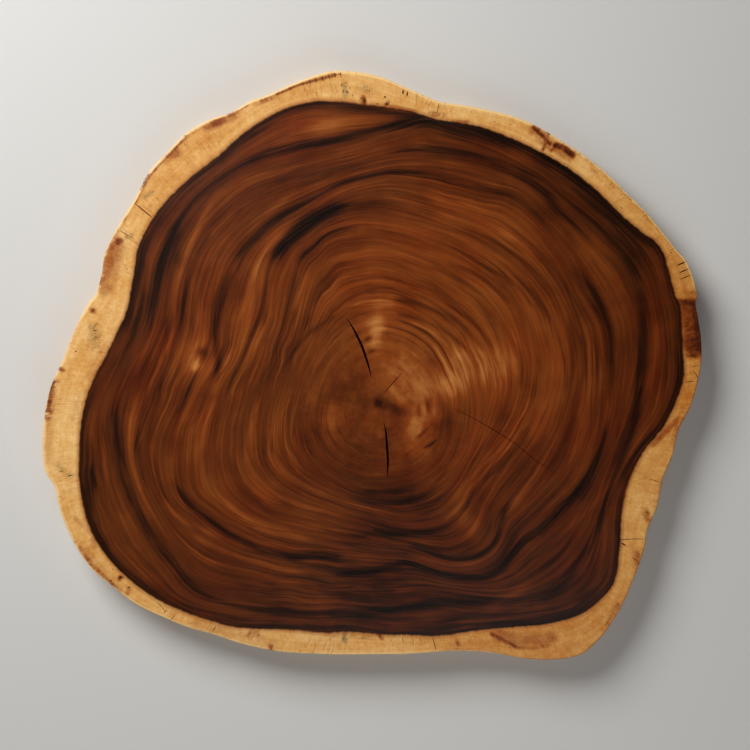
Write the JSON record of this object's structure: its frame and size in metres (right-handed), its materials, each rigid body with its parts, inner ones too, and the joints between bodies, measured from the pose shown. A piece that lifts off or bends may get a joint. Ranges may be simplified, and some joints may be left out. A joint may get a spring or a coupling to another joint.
{
  "type": "live-edge wood slice",
  "caption": "Broad round cross-cut of a lobed trunk, debarked and polished, with a dark ringed heart, a pale wavy sapwood rim and open drying cracks at the pith.",
  "frame": {"origin": "middle of the bounding box, on the underside that the slice lies on", "axes": "+Z out of the polished show face, +X to the right and +Y up as the show face is seen in the picture"},
  "size_m": [1.5176, 1.3562, 0.09],
  "materials": {
    "oiled_wood": "satin oiled wood: dark red-brown ringed heartwood inside a pale golden sapwood rim"
  },
  "bodies": {
    "root": {"wood_slice": "oiled_wood"}
  },
  "joints": []
}
